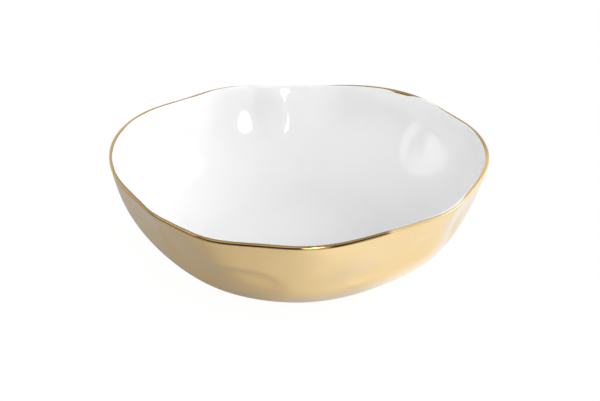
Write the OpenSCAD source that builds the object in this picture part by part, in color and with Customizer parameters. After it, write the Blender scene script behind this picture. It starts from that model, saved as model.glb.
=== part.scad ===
// Round porcelain serving bowl, white inside and gold outside, with a wall pressed in by hand.
// Millimetres, +Z up. The origin is on the table, in the middle of the rim's box.

/* [Wall] */
// Outside radius where the wall meets the lip, before it is pressed in
rim_r = 168; // [150:1:185]
// Height of the wall where the lip begins
wall_h = 92.5; // [80:0.5:110]
// Thickness of the wall and the floor, with both coats
wall_t = 4.4; // [3.6:0.2:6]
// Steepness of the wall at the lip, in degrees from level
lip_angle = 84; // [72:1:88]
// How far the wall's curve runs out level from the foot
level_run = 42; // [30:1:55]
// How far the wall's curve rises straight up to the lip
steep_run = 46; // [32:1:58]
// Height of the lip's round above the wall
lip_h = 2.8; // [1.8:0.1:3.6]

/* [Coats] */
// Thickness of the white glaze on the inside
glaze_t = 0.4; // [0.3:0.1:0.8]
// Thickness of the gold coat on the outside
gold_t = 0.3; // [0.2:0.1:0.6]

/* [Foot] */
// Outside radius of the foot ring
foot_r = 76; // [66:1:84]
// Width of the foot ring where it meets the underside
foot_w = 9; // [7:0.5:12]
// Height of the underside above the table
foot_h = 4; // [3:0.5:6]
// Width of the slope at each edge of the foot ring
foot_slope_w = 1.5; // [0.5:0.5:2.5]
// Height of the slope at each edge of the foot ring
foot_slope_h = 2; // [1:0.5:2.5]
// Where the foot's centre is, left or right of the rim's middle
foot_x = -1.5; // [-6:0.5:6]
// Where the foot's centre is, in front of or behind the rim's middle
foot_y = 2.5; // [-6:0.5:6]

/* [Presses] */
// How deep all the presses go, in percent of their own depth
press_percent = 100; // [0:5:115]
// How much the rim drops for each millimetre that it is pressed in
press_drop = 0.2; // [0:0.05:0.4]
// Height above the foot over which the presses fade out
calm_h = 16; // [8:1:30]

/* [Facets] */
// Facets around the bowl
around = 90; // [48:6:96]
// Facets up the wall
up = 14; // [8:1:15]
// Facets over the lip
over = 6; // [4:1:8]

/* [Hidden] */

// One row for each place that was pressed in: its bearing in degrees from +X, how far its middle is
// below the lip, its half width along the wall, its half height, its depth and how crisp its edge is
presses = [
    [33, 27, 34, 38, 6, 1],
    [38, 41, 21, 17, 1.9, 1.8],
    [90.5, 26.5, 69, 61, 19, 1],
    [99.5, 22.5, 17, 26.5, 1.1, 3],
    [131, 16, 40, 40, 8, 1],
    [188, 4, 50, 28, 3.6, 1],
    [208, 4, 30, 20, 3, 1],
    [218, 26, 76, 42, 17, 1],
    [232, 24, 34, 30, 3, 2.5],
    [250, 50, 45, 23, 4.4, 4],
    [260, 18, 34, 40, 7.5, 1],
    [270, 18, 24, 14, 2.6, 1.5],
    [284, 10, 106, 40, 5, 4],
    [293, 38, 22, 11, 1.2, 2],
    [300, 20, 62, 54, 16, 1],
    [316, 28, 16, 12, 1.2, 2],
    [332, 36, 12, 18, 1.2, 1.5],
    [336, 18, 50, 31, 12, 1]
];

white = [0.96, 0.96, 0.96];
gold = [0.84, 0.70, 0.43];
bisque = [0.90, 0.87, 0.82];

// Depths below the outside face at which one layer ends and the next begins
gold_in = gold_t;
glaze_out = wall_t - glaze_t;
lip_r = wall_t / 2;
foot_in = foot_r - foot_w;
foot_top = foot_h + gold_t;

// Corners stand this much further out, so that the flats touch the true circle
spread = 1 / cos(180 / around);

// The outside profile, as [radius, height], is one curve through these four handles
h0 = [foot_r, foot_h];
h1 = h0 + [level_run, 0];
h3 = [rim_r, wall_h];
h2 = h3 - steep_run * [cos(lip_angle), sin(lip_angle)];

function curve(t) =
    h0 * pow(1 - t, 3) + 3 * h1 * t * pow(1 - t, 2) + 3 * h2 * t * t * (1 - t) + h3 * pow(t, 3);

function slope(t) = (h1 - h0) * pow(1 - t, 2) + 2 * (h2 - h1) * t * (1 - t) + (h3 - h2) * t * t;

function along(t) = slope(t) / norm(slope(t));

function inward(t) = [-along(t)[1], along(t)[0]];

function turn(a) = a - 360 * round(a / 360);

function ease(x) = let (c = min(1, max(0, x))) c * c * (3 - 2 * c);

// How far the wall is pressed in at a bearing and a height
function press(az, z) =
    let (shares = [
        for (p = presses)
            let (
                across = turn(az - p[0]) * PI / 180 * rim_r / p[2],
                down = (wall_h - z - p[1]) / p[3]
            )
            p[4] * exp(-pow(across * across + down * down, p[5]))
    ])
    press_percent / 100 * ease((z - foot_h) / calm_h) * (shares * [for (p = presses) 1]);

// A profile point at a bearing, pressed in as the wall is at height z
function placed(p, az, z) =
    let (d = press(az, z), r = p[0] * spread - d)
    [foot_x + r * cos(az), foot_y + r * sin(az), p[1] - press_drop * d];

function bearing(i) = 360 * i / around;

function ring_at(t, depth) =
    let (p = curve(t) + depth * inward(t), z = curve(t)[1])
    [for (i = [0 : around - 1]) placed(p, bearing(i), z)];

function face_points(depth) = [for (j = [0 : up]) each ring_at(j / up, depth)];

// Two triangles for each cell between two rings that start at points a and b
function strip(a, b, flip) = [
    for (i = [0 : around - 1])
        let (k = (i + 1) % around)
        each flip
            ? [[a + i, b + k, a + k], [a + i, b + i, b + k]]
            : [[a + i, a + k, b + k], [a + i, b + k, b + i]]
];

function disc(a, flip) = [
    flip ? [for (i = [around - 1 : -1 : 0]) a + i] : [for (i = [0 : around - 1]) a + i]
];

// The solid between two depths below the outside face, with a floor or open at the foot
module layer(outer, inner, has_floor) {
    side = around * (up + 1);
    walls = [
        for (j = [0 : up - 1])
            each concat(
                strip(j * around, (j + 1) * around, true),
                strip(side + j * around, side + (j + 1) * around, false)
            )
    ];
    top = strip(up * around, side + up * around, true);
    foot = has_floor
        ? concat(disc(0, false), disc(side, true))
        : strip(0, side, false);
    polyhedron(
        points = concat(face_points(outer), face_points(inner)),
        faces = concat(walls, top, foot),
        convexity = 8
    );
}

module porcelain_body() {
    color(bisque)
        layer(gold_in, glaze_out, true);
}

module inner_glaze() {
    color(white)
        layer(glaze_out, wall_t, true);
}

module gold_jacket() {
    color(gold)
        layer(0, gold_in, false);
}

// The lip is a rounded edge that sits on the top edges of the three layers
module rim_band() {
    middle = curve(1) + lip_r * inward(1);
    seat = [for (depth = [0, gold_in, glaze_out, wall_t]) curve(1) + depth * inward(1)];
    crown = [
        for (k = [over - 1 : -1 : 1])
            let (a = 180 * k / over)
            middle + lip_h * sin(a) * along(1) - lip_r * cos(a) * inward(1)
    ];
    section = concat(seat, crown);
    count = len(section);
    color(gold)
        polyhedron(
            points = [for (p = section) each [for (i = [0 : around - 1]) placed(p, bearing(i), wall_h)]],
            faces = [for (j = [0 : count - 1]) each strip(j * around, (j + 1) % count * around, false)],
            convexity = 8
        );
}

module foot_ring() {
    color(bisque)
        translate([foot_x, foot_y, 0])
            rotate_extrude()
                polygon([
                    [foot_in, foot_top],
                    [foot_in, foot_slope_h],
                    [foot_in + foot_slope_w, 0],
                    [foot_r - foot_slope_w, 0],
                    [foot_r, foot_slope_h],
                    [foot_r, foot_top]
                ]);
}

module base_coat() {
    color(gold)
        translate([foot_x, foot_y, foot_h])
            cylinder(h = gold_t, r = foot_in);
}

porcelain_body();
inner_glaze();
gold_jacket();
rim_band();
foot_ring();
base_coat();
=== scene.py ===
import math

import bpy
import numpy as np
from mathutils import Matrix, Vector


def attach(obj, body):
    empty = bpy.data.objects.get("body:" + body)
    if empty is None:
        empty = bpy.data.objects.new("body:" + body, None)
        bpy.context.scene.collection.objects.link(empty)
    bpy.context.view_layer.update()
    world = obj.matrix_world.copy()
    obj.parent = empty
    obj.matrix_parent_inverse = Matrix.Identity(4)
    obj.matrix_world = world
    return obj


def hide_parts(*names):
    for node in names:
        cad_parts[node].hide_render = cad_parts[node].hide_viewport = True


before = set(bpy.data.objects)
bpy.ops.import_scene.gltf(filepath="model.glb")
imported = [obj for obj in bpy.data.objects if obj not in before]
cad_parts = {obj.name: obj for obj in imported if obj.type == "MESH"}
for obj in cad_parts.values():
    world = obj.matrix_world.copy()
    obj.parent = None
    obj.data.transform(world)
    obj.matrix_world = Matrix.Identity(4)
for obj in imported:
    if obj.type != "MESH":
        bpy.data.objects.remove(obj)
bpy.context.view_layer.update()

# Sizes in millimetres, the same as in the part's source
RIM_R = 168.0
WALL_H = 92.5
WALL_T = 4.4
LIP_ANGLE = math.radians(84)
LEVEL_RUN = 42.0
STEEP_RUN = 46.0
LIP_H = 2.8
GOLD_T = 0.3
FOOT_R = 76.0
FOOT_W = 9.0
FOOT_H = 4.0
FOOT_X = -1.5
FOOT_Y = 2.5
PRESS_DROP = 0.2
CALM_H = 16.0
# Each press: bearing, how far below the lip, half width, half height, depth and how crisp its edge is
PRESSES = [
    (33, 27, 34, 38, 6, 1),
    (38, 41, 21, 17, 1.9, 1.8),
    (90.5, 26.5, 69, 61, 19, 1),
    (99.5, 22.5, 17, 26.5, 1.1, 3),
    (131, 16, 40, 40, 8, 1),
    (188, 4, 50, 28, 3.6, 1),
    (208, 4, 30, 20, 3, 1),
    (218, 26, 76, 42, 17, 1),
    (232, 24, 34, 30, 3, 2.5),
    (250, 50, 45, 23, 4.4, 4),
    (260, 18, 34, 40, 7.5, 1),
    (270, 18, 24, 14, 2.6, 1.5),
    (284, 10, 106, 40, 5, 4),
    (293, 38, 22, 11, 1.2, 2),
    (300, 20, 62, 54, 16, 1),
    (316, 28, 16, 12, 1.2, 2),
    (332, 36, 12, 18, 1.2, 1.5),
    (336, 18, 50, 31, 12, 1),
]
# Two fine swells under the lip at the back, smaller than the facets of the part's solids
SWELLS = [(90.5, 1, 10.7, 3.4, -0.85, 1.5), (94, 9.2, 24, 11.1, 0.54, 1)]

# How fine the meshes are: steps round the bowl, up the wall, over the gold and the white part of the
# lip and across the floor inside, then the same for the hidden core and for the foot
AROUND = 288
UP = 84
OVER = 20
ACROSS = 25
CORE_AROUND = 144
CORE_UP = 40
FOOT_AROUND = 192
FOOT_ROUND_STEPS = 6

# Place on the profile, just under its top, that gives the lip's direction
UNDER_LIP = 0.985
# Bearings and how much lower the lip's round is there, in millimetres
LIP_LOWER = ((296, 303, 340, 355), (0, 0.9, 0.9, 0))
# Bearings and the bend of the lip's round there: 1 is a true round, and less is squarer
LIP_BEND = ((205, 220, 296, 303), (0.6, 1, 1, 0.6))

# How far the gilding runs over the lip, in degrees of its round: its mean and its limits, the waves of
# the brush (count round the bowl, size, shift) and the places that differ (bearing, half width, how much)
GILDING_MEAN = 104
GILDING_LIMITS = (58, 176)
BRUSH_WAVES = [(3, 14, 0.6), (7, 9, 2.0), (13, 6, 0.0), (29, 4, 1.0)]
BRUSH_PLACES = [
    (22, 7, 10),
    (41, 7, -40),
    (53, 5.5, 78),
    (70, 10, 50),
    (100, 15, -44),
    (126, 8, 20),
    (166, 8, 22),
    (180, 24, 14),
    (270, 50, 12),
    (350, 20, 10),
]

# How far the core lies under both faces, the radius of the foot's rounded edges and where they begin
CORE_COVER = 0.8
FOOT_ROUND = 1.8
FOOT_ROUND_TOP = 1.9

MM_PER_M = 1000
TINY = 1e-12

# The handles of the outside profile's curve
H0 = np.array([FOOT_R, FOOT_H])
H1 = H0 + [LEVEL_RUN, 0]
H3 = np.array([RIM_R, WALL_H])
H2 = H3 - STEEP_RUN * np.array([math.cos(LIP_ANGLE), math.sin(LIP_ANGLE)])


def curve(t):
    """The outside profile as radius and height, from 0 at the foot to 1 at the lip."""
    t = np.asarray(t, float)[..., None]
    return H0 * (1 - t) ** 3 + 3 * H1 * t * (1 - t) ** 2 + 3 * H2 * t * t * (1 - t) + H3 * t ** 3


def inward(t):
    """The direction from the outside of the wall to its inside."""
    t = np.asarray(t, float)[..., None]
    d = (H1 - H0) * (1 - t) ** 2 + 2 * (H2 - H1) * t * (1 - t) + (H3 - H2) * t * t
    d = d / np.linalg.norm(d, axis=-1, keepdims=True)
    return np.stack([-d[..., 1], d[..., 0]], -1)


def bearing_gap(az, at):
    """Degrees from one bearing to another, from -180 to 180."""
    return (az - at + 180) % 360 - 180


def press(az, z):
    """How far the wall is pressed in at a bearing and a height."""
    total = 0
    for at, below, half_w, half_h, depth, crisp in PRESSES + SWELLS:
        across = np.radians(bearing_gap(az, at)) * RIM_R / half_w
        down = (z - WALL_H + below) / half_h
        total = total + depth * np.exp(-((across ** 2 + down ** 2) ** crisp))
    x = np.clip((z - FOOT_H) / CALM_H, 0, 1)
    return total * x * x * (3 - 2 * x)


def section(az, t, depth):
    """Radius and height of the pressed wall at a bearing, a place on the profile and a depth under it."""
    t = np.broadcast_to(np.asarray(t, float), az.shape)
    c = curve(t)
    p = c + depth * inward(t)
    d = press(az, c[..., 1])
    return np.stack([p[..., 0] - d, p[..., 1] - PRESS_DROP * d], -1)


def placed(az, rz):
    """Points in space from bearings and pairs of radius and height."""
    a = np.radians(az)
    return np.stack([FOOT_X + rz[..., 0] * np.cos(a), FOOT_Y + rz[..., 0] * np.sin(a), rz[..., 1]], -1)


def lip(az, phi):
    """The rounded lip: phi 0 is the outside of the wall, 90 its top and 180 the inside."""
    outside = section(az, 1, 0.0)
    inside = section(az, 1, WALL_T)
    rise = section(az, 1, WALL_T / 2) - section(az, UNDER_LIP, WALL_T / 2)
    height = LIP_H - np.interp(az, *LIP_LOWER)
    rise = rise / np.linalg.norm(rise, axis=-1, keepdims=True) * height[..., None]
    middle = (outside + inside) / 2
    p = np.radians(phi)
    bend = np.interp(az, *LIP_BEND)
    over = np.sign(np.cos(p)) * np.abs(np.cos(p)) ** bend
    up = np.abs(np.sin(p)) ** bend
    return middle + (outside - middle) * over[..., None] + rise * up[..., None]


def gold_edge(az):
    """How far the gilding, which is brushed on by hand, runs over the lip."""
    edge = GILDING_MEAN
    for count, size, shift in BRUSH_WAVES:
        edge = edge + size * np.sin(count * np.radians(az) + shift)
    for at, half, more in BRUSH_PLACES:
        edge = edge + more * np.exp(-((bearing_gap(az, at) / half) ** 2))
    return np.clip(edge, *GILDING_LIMITS)


# The whole profile, from the foot up the outside, over the lip, down the inside and in to the middle
bearings = np.arange(AROUND) * 360 / AROUND
edge = gold_edge(bearings)
wall_steps = np.linspace(0, 1, UP + 1)[:-1]
rows = [section(bearings, t, 0.0) for t in wall_steps]
lip_start = len(rows)
rows += [lip(bearings, edge * k / OVER) for k in range(OVER + 1)]
gold_end = len(rows) - 1
rows += [lip(bearings, edge + (180 - edge) * k / OVER) for k in range(1, OVER + 1)]
rows += [section(bearings, t, WALL_T) for t in wall_steps[::-1]]
floor_r = rows[-1][:, :1]
floor_z = rows[-1][:, 1:]
rows += [np.concatenate([floor_r * (1 - k / ACROSS), floor_z], 1) for k in range(1, ACROSS)]

skin = np.array([placed(bearings, r) for r in rows])
along = np.gradient(skin, axis=0)
wrapped = np.concatenate([skin[:, -1:], skin, skin[:, :1]], 1)
around = (wrapped[:, 2:] - wrapped[:, :-2]) / 2
normals = np.cross(around, along)
normals /= np.linalg.norm(normals, axis=-1, keepdims=True) + TINY


def ring_faces(rings, count, closed=False):
    """Quads between rings of points, each ring to the next, and the last to the first if closed."""
    faces = []
    for j in range(rings if closed else rings - 1):
        a, b = j * count, (j + 1) % rings * count
        for i in range(count):
            k = (i + 1) % count
            faces.append((a + i, a + k, b + k, b + i))
    return faces


def piece(name, points, faces, smooth=True):
    """A new mesh from points in millimetres, which rides on the bowl's body."""
    mesh = bpy.data.meshes.new(name)
    mesh.from_pydata((points / MM_PER_M).tolist(), [], faces)
    mesh.polygons.foreach_set("use_smooth", [smooth] * len(mesh.polygons))
    mesh.update()
    obj = bpy.data.objects.new(name, mesh)
    bpy.context.scene.collection.objects.link(obj)
    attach(obj, "root")
    return obj


def sheet(name, first, last, has_middle=False):
    """A smooth piece from a run of the profile's rows, closed at the bowl's middle if asked."""
    points = skin[first:last + 1].reshape(-1, 3)
    point_normals = normals[first:last + 1].reshape(-1, 3)
    faces = ring_faces(last - first + 1, AROUND)
    if has_middle:
        a = (last - first) * AROUND
        faces += [(a + i, a + (i + 1) % AROUND, len(points)) for i in range(AROUND)]
        points = np.concatenate([points, [skin[last].mean(0)]])
        point_normals = np.concatenate([point_normals, [[0, 0, 1]]])
    obj = piece(name, points, faces)
    obj.data.normals_split_custom_set_from_vertices(point_normals.tolist())
    return obj


def core_piece(name):
    """The closed porcelain wall between its two coats."""
    az = np.arange(CORE_AROUND) * 360 / CORE_AROUND
    steps = np.linspace(0, 1, CORE_UP + 1)
    sections = [section(az, t, CORE_COVER) for t in steps]
    sections += [section(az, t, WALL_T - CORE_COVER) for t in steps[::-1]]
    points = np.array([placed(az, s) for s in sections]).reshape(-1, 3)
    faces = ring_faces(len(sections), CORE_AROUND)
    faces.append(tuple(range(CORE_AROUND - 1, -1, -1)))
    faces.append(tuple(range(len(points) - CORE_AROUND, len(points))))
    return piece(name, points, faces, smooth=False)


def foot_piece(name):
    """The turned ring that the bowl stands on, with rounded edges."""
    inner = FOOT_R - FOOT_W
    top = FOOT_H + GOLD_T
    turns = np.radians(np.linspace(0, 90, FOOT_ROUND_STEPS + 1))
    outline = [(inner, top), (inner, FOOT_ROUND_TOP)]
    outline += [(inner + FOOT_ROUND * (1 - math.cos(a)), FOOT_ROUND * (1 - math.sin(a))) for a in turns]
    outline += [(FOOT_R - FOOT_ROUND * (1 - math.sin(a)), FOOT_ROUND * (1 - math.cos(a))) for a in turns]
    outline += [(FOOT_R, FOOT_ROUND_TOP), (FOOT_R, top)]
    az = np.arange(FOOT_AROUND) * 360 / FOOT_AROUND
    rings = [placed(az, np.tile([r, z], (FOOT_AROUND, 1))) for r, z in outline]
    faces = ring_faces(len(outline), FOOT_AROUND, closed=True)
    return piece(name, np.array(rings).reshape(-1, 3), faces)


def material(name):
    m = bpy.data.materials.new(name)
    m.use_nodes = True
    return m, m.node_tree, m.node_tree.nodes["Principled BSDF"]


def node(nt, kind, inputs=(), **settings):
    n = nt.nodes.new(kind)
    for key, value in settings.items():
        setattr(n, key, value)
    for name, value in dict(inputs).items():
        n.inputs[name].default_value = value
    return n


def noise(nt, scale, detail, roughness):
    """Noise in the object's own coordinates."""
    values = {"Scale": scale, "Detail": detail, "Roughness": roughness}
    n = node(nt, "ShaderNodeTexNoise", values)
    nt.links.new(node(nt, "ShaderNodeTexCoord").outputs["Object"], n.inputs["Vector"])
    return n.outputs["Fac"]


def ramp(nt, source, low, high):
    """A colour between two stops, each a position and a colour, or a position and one level."""
    r = node(nt, "ShaderNodeValToRGB")
    for element, (position, value) in zip(r.color_ramp.elements, (low, high)):
        element.position = position
        element.color = (*(value if isinstance(value, tuple) else (value,) * 3), 1)
    nt.links.new(source, r.inputs["Fac"])
    return r.outputs["Color"]


def bump(nt, source, strength, distance):
    b = node(nt, "ShaderNodeBump", {"Strength": strength, "Distance": distance})
    nt.links.new(source, b.inputs["Height"])
    return b.outputs["Normal"]


def span(nt, source, start, end, low=0.0, high=1.0):
    """A level that goes smoothly from low to high as a value goes from start to end."""
    limits = {"From Min": start, "From Max": end, "To Min": low, "To Max": high}
    m = node(nt, "ShaderNodeMapRange", limits, interpolation_type="SMOOTHSTEP")
    nt.links.new(source, m.inputs["Value"])
    return m.outputs["Result"]


def combine(nt, operation, *sources):
    """The level that a sum, a product or a maximum of other levels gives."""
    m = node(nt, "ShaderNodeMath", operation=operation)
    for slot, source in enumerate(sources):
        nt.links.new(source, m.inputs[slot])
    return m.outputs[0]


def axes(nt, source):
    """The X, Y and Z of a place."""
    s = node(nt, "ShaderNodeSeparateXYZ")
    nt.links.new(source, s.inputs[0])
    return s.outputs


def gold_material(name, dark, light, coat):
    m, nt, shader = material(name)
    shader.inputs["Metallic"].default_value = 1.0
    shader.inputs["Coat Weight"].default_value = coat
    shader.inputs["Coat IOR"].default_value = 1.6
    shader.inputs["Coat Roughness"].default_value = 0.05
    tone = noise(nt, scale=22, detail=4, roughness=0.55)
    nt.links.new(ramp(nt, tone, (0.3, dark), (0.7, light)), shader.inputs["Base Color"])
    fine = noise(nt, scale=160, detail=3, roughness=0.6)
    nt.links.new(ramp(nt, fine, (0.35, 0.07), (0.7, 0.12)), shader.inputs["Roughness"])
    peel = noise(nt, scale=260, detail=2, roughness=0.5)
    nt.links.new(bump(nt, peel, strength=0.06, distance=0.0006), shader.inputs["Normal"])
    return m


def paint_lip_light(m):
    """Paints the lip lighter and makes it duller at the front right, and a little on the left. The
    lighter colour is painted light, a painted reflection of the bright light the gilded lip shows there.
    """
    nt = m.node_tree
    shader = nt.nodes["Principled BSDF"]
    at = axes(nt, node(nt, "ShaderNodeTexCoord").outputs["Object"])
    right = span(nt, at["X"], 0.069, 0.077)
    front = span(nt, at["Y"], 0.030, -0.010)
    left = span(nt, at["X"], -0.120, -0.150, high=0.4)
    # Where the lip's colour is painted lighter: painted reflected light, full at the front right and
    # partial on the far left
    lip_light_mask = combine(nt, "MAXIMUM", combine(nt, "MULTIPLY", right, front), left)
    for socket, value in (("Base Color", (0.88, 0.66, 0.34, 1)), ("Roughness", (0.45, 0.45, 0.45, 1))):
        blend = node(nt, "ShaderNodeMix", data_type="RGBA")
        blend.inputs["B"].default_value = value
        nt.links.new(lip_light_mask, blend.inputs["Factor"])
        nt.links.new(shader.inputs[socket].links[0].from_socket, blend.inputs["A"])
        nt.links.new(blend.outputs["Result"], shader.inputs[socket])


def glaze_material(name):
    m, nt, shader = material(name)
    shader.inputs["Roughness"].default_value = 0.06
    shader.inputs["IOR"].default_value = 1.5
    pool = noise(nt, scale=9, detail=3, roughness=0.5)
    tint = ramp(nt, pool, (0.3, (0.86, 0.86, 0.87)), (0.7, (0.89, 0.89, 0.895)))
    nt.links.new(tint, shader.inputs["Base Color"])
    wave = noise(nt, scale=30, detail=1, roughness=0.4)
    nt.links.new(bump(nt, wave, strength=0.10, distance=0.002), shader.inputs["Normal"])
    return m


def bare_material(name):
    m, nt, shader = material(name)
    grit = noise(nt, scale=900, detail=3, roughness=0.6)
    stain = noise(nt, scale=35, detail=4, roughness=0.6)
    mixer = node(nt, "ShaderNodeMix", data_type="RGBA", blend_type="MULTIPLY")
    mixer.inputs["Factor"].default_value = 0.6
    speckle = ramp(nt, grit, (0.35, (0.76, 0.72, 0.66)), (0.6, (0.90, 0.87, 0.82)))
    smudge = ramp(nt, stain, (0.35, (0.82, 0.80, 0.78)), (0.65, (1, 1, 1)))
    nt.links.new(speckle, mixer.inputs["A"])
    nt.links.new(smudge, mixer.inputs["B"])
    nt.links.new(mixer.outputs["Result"], shader.inputs["Base Color"])
    nt.links.new(ramp(nt, grit, (0.3, 0.6), (0.7, 0.85)), shader.inputs["Roughness"])
    nt.links.new(bump(nt, grit, strength=0.4, distance=0.0003), shader.inputs["Normal"])
    return m


gold = gold_material("gold_lustre", dark=(0.855, 0.63, 0.305), light=(0.90, 0.67, 0.335), coat=0.8)
# The lip's gold is a darker, browner copy of the wall's gold lustre: this darkness is painted shade
# standing in for the dark reflections along the lip
lip_gold = gold_material("gold_lip", dark=(0.44, 0.275, 0.10), light=(0.54, 0.35, 0.135), coat=0.0)
paint_lip_light(lip_gold)
glaze = glaze_material("white_glaze")
bare = bare_material("bare_porcelain")

wall = sheet("gold_wall", 0, lip_start)
band = sheet("gold_lip_band", lip_start, gold_end)
lining = sheet("glaze_lining", gold_end, len(rows) - 1, has_middle=True)
core = core_piece("porcelain_core")
foot = foot_piece("bare_foot")

for obj, mat, slot_name, nodes in (
    (wall, gold, "gold_coat", ["gold_jacket"]),
    (band, lip_gold, "gold_lip", ["rim_band"]),
    (lining, glaze, "white_glaze", ["inner_glaze"]),
    (core, bare, "porcelain", ["porcelain_body"]),
    (foot, bare, "bare_porcelain", ["foot_ring"]),
):
    obj.data.materials.clear()
    obj.data.materials.append(mat)
    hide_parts(*nodes)

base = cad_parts["base_coat"]
base.data.materials.clear()
base.data.materials.append(gold)

# Camera
CAMERA_UP = math.radians(28.3)
CAMERA_AWAY = 1.5
CAMERA_AIM = Vector((0.0007, 0.0025, 0.0503))
camera_data = bpy.data.cameras.new("camera")
camera_data.sensor_width = 36
camera_data.sensor_fit = "HORIZONTAL"
camera_data.lens = 102
camera = bpy.data.objects.new("camera", camera_data)
bpy.context.scene.collection.objects.link(camera)
camera.location = CAMERA_AIM + Vector((0, -math.cos(CAMERA_UP), math.sin(CAMERA_UP))) * CAMERA_AWAY
camera.rotation_euler = (math.pi / 2 - CAMERA_UP, 0, 0)
bpy.context.scene.camera = camera

# Floor: a white table that ends just in front of the picture
FLOOR_WIDTH = 4.4
FLOOR_DEPTH = 6
FLOOR_LEFT = -0.4
FLOOR_FRONT = -0.255
FLOOR_Z = -0.0002
bpy.ops.mesh.primitive_plane_add(size=1)
floor = bpy.context.object
floor.name = "floor"
floor.scale = (FLOOR_WIDTH, FLOOR_DEPTH, 1)
floor.location = (FLOOR_LEFT + FLOOR_WIDTH / 2, FLOOR_FRONT + FLOOR_DEPTH / 2, FLOOR_Z)

# The camera sees it nearly white, with a faint shadow. Mirrored in the bowl it is white on the right and
# falls to its plain colour on the left, partly under the bowl and a little towards the back. This white
# is a painted glow seen only in the bowl's reflections: painted light on the right, and its falling off
# on the left, under the bowl and towards the back is painted shade
FLOOR_SEEN_WHITE = 0.92
floor_mat, nt, unused_shader = material("floor_white")
nt.nodes.remove(unused_shader)
diffuse = node(nt, "ShaderNodeBsdfDiffuse", {"Color": (0.62, 0.62, 0.62, 1)})
glow = node(nt, "ShaderNodeEmission", {"Color": (1, 1, 1, 1), "Strength": 1.05})
position = node(nt, "ShaderNodeNewGeometry").outputs["Position"]
distance = node(nt, "ShaderNodeVectorMath", operation="LENGTH")
nt.links.new(position, distance.inputs[0])
at = axes(nt, position)
from_left = span(nt, at["X"], -0.09, 0.10)
# Painted shade: the reflected glow falls off under the bowl
under_bowl_painted_shade = span(nt, distance.outputs["Value"], 0.10, 0.21, low=0.45)
on_right = span(nt, at["X"], 0.01, 0.11)
# Painted shade: the reflected glow dims a little towards the back
back_painted_shade = span(nt, at["Y"], -0.08, 0.01, low=1.0, high=0.75)
lit = combine(nt, "MAXIMUM", combine(nt, "MULTIPLY", from_left, under_bowl_painted_shade), on_right)
mirrored = combine(nt, "MULTIPLY", lit, back_painted_shade)
path = node(nt, "ShaderNodeLightPath")
seen = node(nt, "ShaderNodeMath", operation="MULTIPLY")
seen.inputs[1].default_value = FLOOR_SEEN_WHITE
nt.links.new(path.outputs["Is Camera Ray"], seen.inputs[0])
white = combine(nt, "MULTIPLY_ADD", path.outputs["Is Glossy Ray"], mirrored, seen.outputs[0])
mix = node(nt, "ShaderNodeMixShader")
nt.links.new(white, mix.inputs["Fac"])
nt.links.new(diffuse.outputs[0], mix.inputs[1])
nt.links.new(glow.outputs[0], mix.inputs[2])
nt.links.new(mix.outputs[0], nt.nodes["Material Output"].inputs["Surface"])
floor.data.materials.append(floor_mat)

# World: a white studio with a dimmer ceiling, two dark gaps in front, on the left and on the right, a
# strong key light low on the right, a small light low on the left and a weak one at the front left
CEILING = 0.66
SEEN_WHITE = 1.0
world = bpy.data.worlds.new("studio")
bpy.context.scene.world = world
world.use_nodes = True
nt = world.node_tree
direction = node(nt, "ShaderNodeTexCoord").outputs["Generated"]
level_way = node(nt, "ShaderNodeVectorMath", operation="MULTIPLY")
level_way.inputs[1].default_value = (1, 1, 0)
nt.links.new(direction, level_way.inputs[0])
heading = node(nt, "ShaderNodeVectorMath", operation="NORMALIZE")
nt.links.new(level_way.outputs[0], heading.inputs[0])


def lobe(way, towards, start, end, low=0.0, high=1.0):
    """A level that goes from low to high as a direction comes closer to the one given."""
    dot = node(nt, "ShaderNodeVectorMath", operation="DOT_PRODUCT")
    dot.inputs[1].default_value = Vector(towards).normalized()
    nt.links.new(way, dot.inputs[0])
    return span(nt, dot.outputs["Value"], start, end, low, high)


dark_left = lobe(heading.outputs[0], (-0.81, -0.59, 0), 0.52, 0.70, low=1.0, high=0.04)
dark_right = lobe(heading.outputs[0], (0.777, -0.629, 0), 0.94, 0.982, low=1.0, high=0.05)
above = lobe(direction, (0, 0, 1), 0.30, 0.55)
dome = node(nt, "ShaderNodeMix", {"B": CEILING}, data_type="FLOAT")
nt.links.new(above, dome.inputs["Factor"])
nt.links.new(combine(nt, "MULTIPLY", dark_left, dark_right), dome.inputs["A"])
key = lobe(direction, (0.905, 0.127, 0.407), 0.915, 0.985, high=4.9)
left = lobe(direction, (-0.946, 0.058, 0.317), 0.961, 0.9945, high=2.4)
fill = lobe(direction, (-0.53, -0.63, 0.57), 0.78, 0.96, high=0.40)
ambient = combine(nt, "ADD", dome.outputs["Result"], fill)
level = combine(nt, "ADD", ambient, combine(nt, "ADD", key, left))
pick = node(nt, "ShaderNodeMix", {"B": SEEN_WHITE}, data_type="FLOAT")
nt.links.new(node(nt, "ShaderNodeLightPath").outputs["Is Camera Ray"], pick.inputs["Factor"])
nt.links.new(level, pick.inputs["A"])
background = nt.nodes["Background"]
background.inputs["Color"].default_value = (1, 1, 1, 1)
nt.links.new(pick.outputs["Result"], background.inputs["Strength"])

LAMP_AIM = Vector((0, 0, 0.06))


def softbox(name, place, width, height, power):
    data = bpy.data.lights.new(name, "AREA")
    data.shape = "ELLIPSE"
    data.size = width
    data.size_y = height
    data.energy = power
    obj = bpy.data.objects.new(name, data)
    bpy.context.scene.collection.objects.link(obj)
    obj.location = place
    obj.rotation_euler = (LAMP_AIM - Vector(place)).to_track_quat("-Z", "Y").to_euler()
    obj.visible_camera = False


softbox("front_window", place=(0.39, -1.19, 0.68), width=0.42, height=0.38, power=4.2)
softbox("front_strip", place=(0.17, -1.25, 0.09), width=0.5, height=0.13, power=2.6)

bpy.context.scene.view_settings.view_transform = "Standard"
